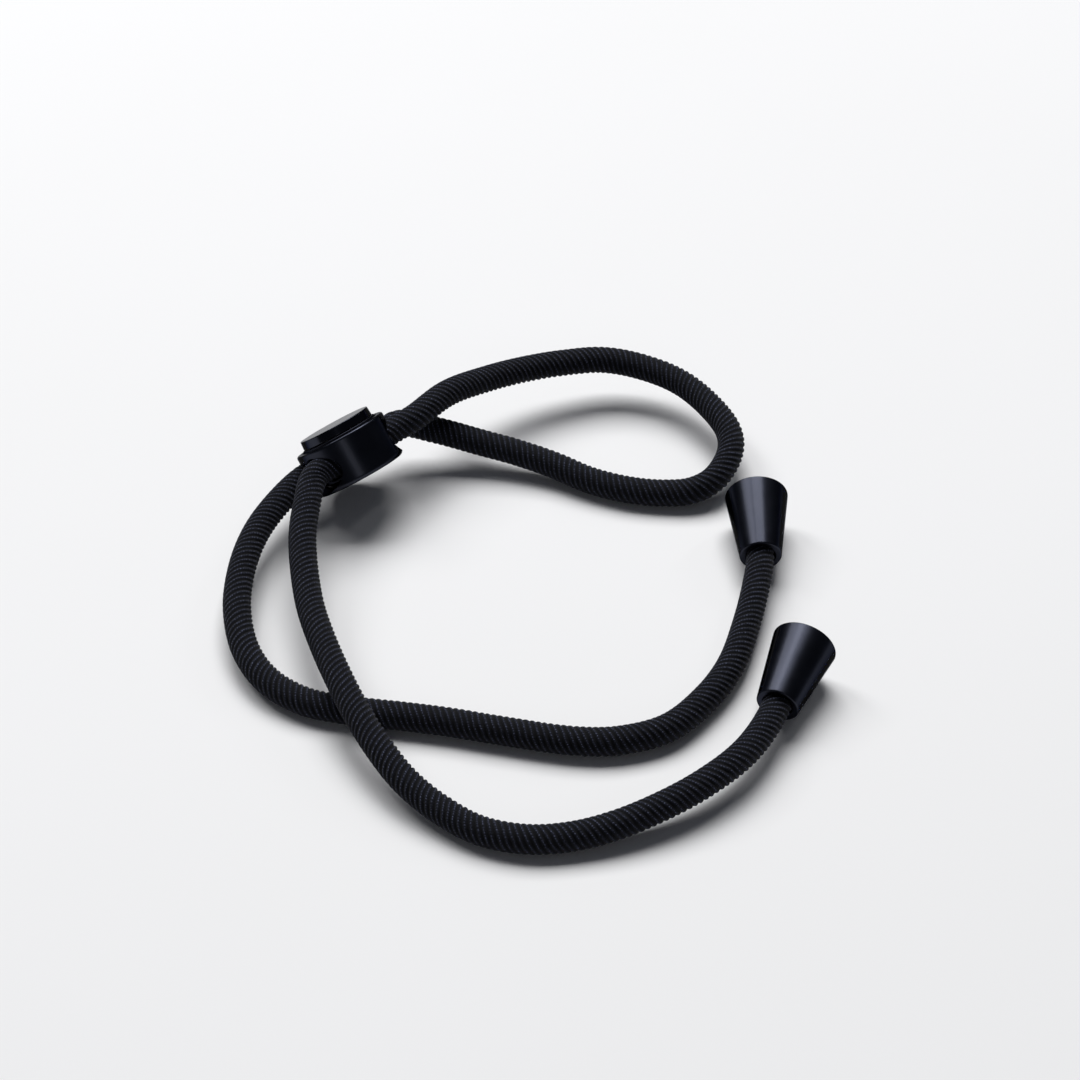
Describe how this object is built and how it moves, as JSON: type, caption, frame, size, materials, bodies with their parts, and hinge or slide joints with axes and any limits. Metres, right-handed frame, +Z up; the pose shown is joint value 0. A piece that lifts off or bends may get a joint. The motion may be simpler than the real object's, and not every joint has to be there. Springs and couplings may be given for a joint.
{
  "type": "adjustable cord wrist strap",
  "caption": "Adjustable wrist strap of round woven elastic cord: a wrist loop and two tails through a round push-button cord lock, with a bell-shaped end on each tail.",
  "frame": {"origin": "on the surface the strap lies on, under the middle of its outline", "axes": "+Z up from the surface; +Y across the strap towards the wrist loop's far side; +X from the cord lock towards the bell ends"},
  "size_m": [0.0864, 0.0997, 0.0155],
  "materials": {
    "woven_cord": "ribbed woven polyester, matt",
    "rubber": "plain latex rubber",
    "anodised": "black anodised, satin",
    "gloss_cap": "black anodised, polished",
    "steel": "bright spring steel"
  },
  "bodies": {
    "cord": {"cord_sheath": "woven_cord", "cord_core": "rubber", "bell_upper": "anodised", "bell_lower": "anodised", "plug_upper": "anodised", "plug_lower": "anodised", "ferrule_upper": "steel", "ferrule_lower": "steel"},
    "lock": {"lock_body": "anodised", "wave_spring": "steel"},
    "button": {"button_barrel": "anodised", "button_cap": "gloss_cap", "cap_screw": "steel"}
  },
  "joints": [
    {"name": "lock_slide", "type": "slide", "parent": "cord", "child": "lock", "axis": [0.7689, 0.6349, 0.075], "range_m": [0, 0.0025]},
    {"name": "button_press", "type": "slide", "parent": "lock", "child": "button", "axis": [0.4737, -0.487, -0.7338], "range_m": [0, 0.0006], "stiffness_N_per_m": 3000, "springref_m": -0.0006, "deforming": ["wave_spring"]}
  ]
}
